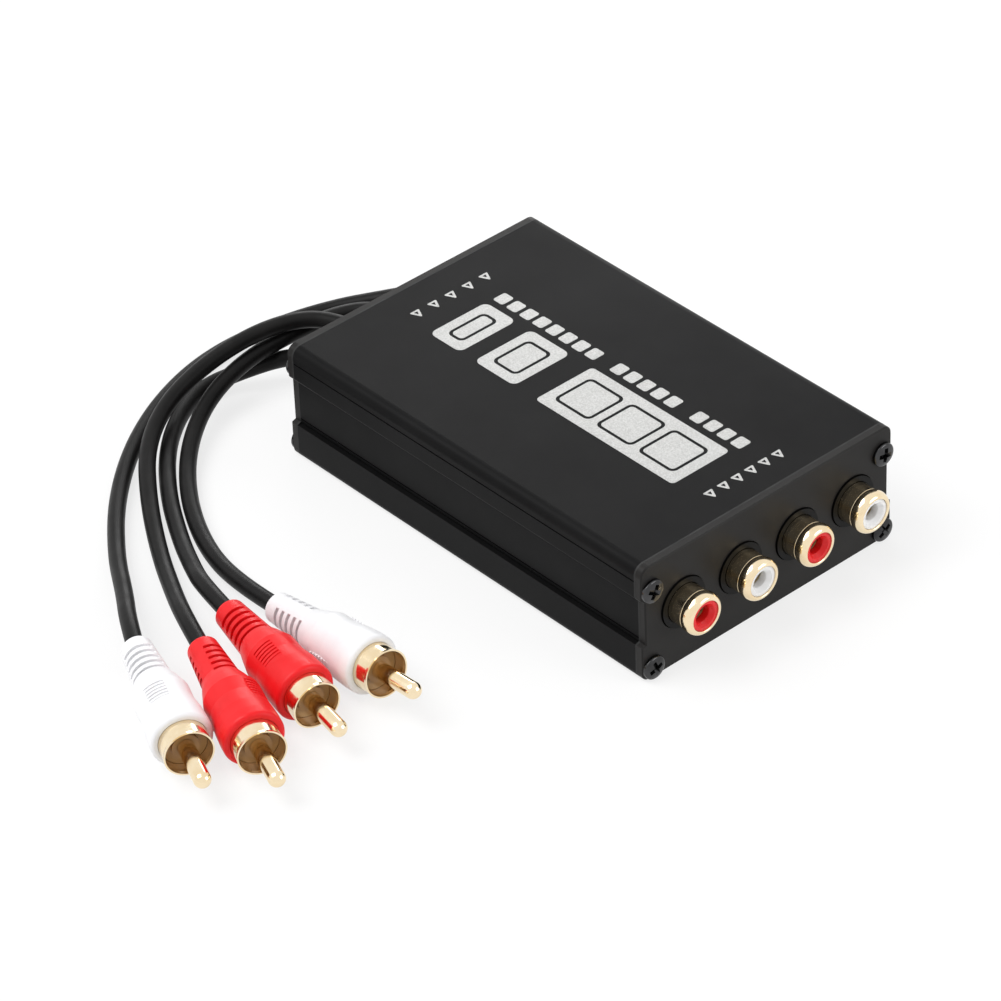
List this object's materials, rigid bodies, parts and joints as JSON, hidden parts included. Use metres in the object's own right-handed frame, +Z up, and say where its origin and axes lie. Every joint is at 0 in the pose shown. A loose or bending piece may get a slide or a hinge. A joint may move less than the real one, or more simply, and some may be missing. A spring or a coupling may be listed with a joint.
{
  "type": "ground loop isolator",
  "caption": "Flat black box with round signal jacks on one end and flexible leads with plugs on the other, which breaks ground loops between audio devices.",
  "frame": {"origin": "middle of the case's underside, halfway between the outer faces of its two panels", "axes": "+X across the case, +Y from the jack panel to the lead panel, +Z up through the top face"},
  "size_m": [0.1382, 0.1341, 0.0246],
  "materials": {
    "black_anodised": "satin black anodised",
    "black_screws": "glossy black plated",
    "board_green": "satin",
    "core_steel": "dull laminated",
    "bobbin_plastic": "satin",
    "winding_copper": "varnished",
    "gold_plate": "polished gold plate",
    "red_plastic": "glossy",
    "white_plastic": "glossy",
    "black_plastic": "satin",
    "cord_rubber": "satin",
    "red_moulding": "satin moulded",
    "white_moulding": "satin moulded",
    "brown_insulator": "satin"
  },
  "bodies": {
    "root": {"bottom_shell": "black_anodised", "circuit_board": "board_green", "cord_1": "cord_rubber", "cord_1_boot": "cord_rubber", "cord_2": "cord_rubber", "cord_2_boot": "cord_rubber", "cord_3": "cord_rubber", "cord_3_boot": "cord_rubber", "cord_4": "cord_rubber", "cord_4_boot": "cord_rubber", "front_panel": "black_anodised", "jack_1_contact": "gold_plate", "jack_1_housing": "black_plastic", "jack_1_insert": "red_plastic", "jack_1_shell": "gold_plate", "jack_2_contact": "gold_plate", "jack_2_housing": "black_plastic", "jack_2_insert": "white_plastic", "jack_2_shell": "gold_plate", "jack_3_contact": "gold_plate", "jack_3_housing": "black_plastic", "jack_3_insert": "red_plastic", "jack_3_shell": "gold_plate", "jack_4_contact": "gold_plate", "jack_4_housing": "black_plastic", "jack_4_insert": "white_plastic", "jack_4_shell": "gold_plate", "panel_screws": "black_screws", "plug_1_body": "white_moulding", "plug_1_insulator": "brown_insulator", "plug_1_pin": "gold_plate", "plug_1_ring": "gold_plate", "plug_2_body": "red_moulding", "plug_2_insulator": "brown_insulator", "plug_2_pin": "gold_plate", "plug_2_ring": "gold_plate", "plug_3_body": "red_moulding", "plug_3_insulator": "brown_insulator", "plug_3_pin": "gold_plate", "plug_3_ring": "gold_plate", "plug_4_body": "white_moulding", "plug_4_insulator": "brown_insulator", "plug_4_pin": "gold_plate", "plug_4_ring": "gold_plate", "rear_panel": "black_anodised", "top_shell": "black_anodised", "transformer_1_bobbin": "bobbin_plastic", "transformer_1_core": "core_steel", "transformer_1_winding": "winding_copper", "transformer_2_bobbin": "bobbin_plastic", "transformer_2_core": "core_steel", "transformer_2_winding": "winding_copper", "transformer_3_bobbin": "bobbin_plastic", "transformer_3_core": "core_steel", "transformer_3_winding": "winding_copper", "transformer_4_bobbin": "bobbin_plastic", "transformer_4_core": "core_steel", "transformer_4_winding": "winding_copper"}
  },
  "joints": []
}
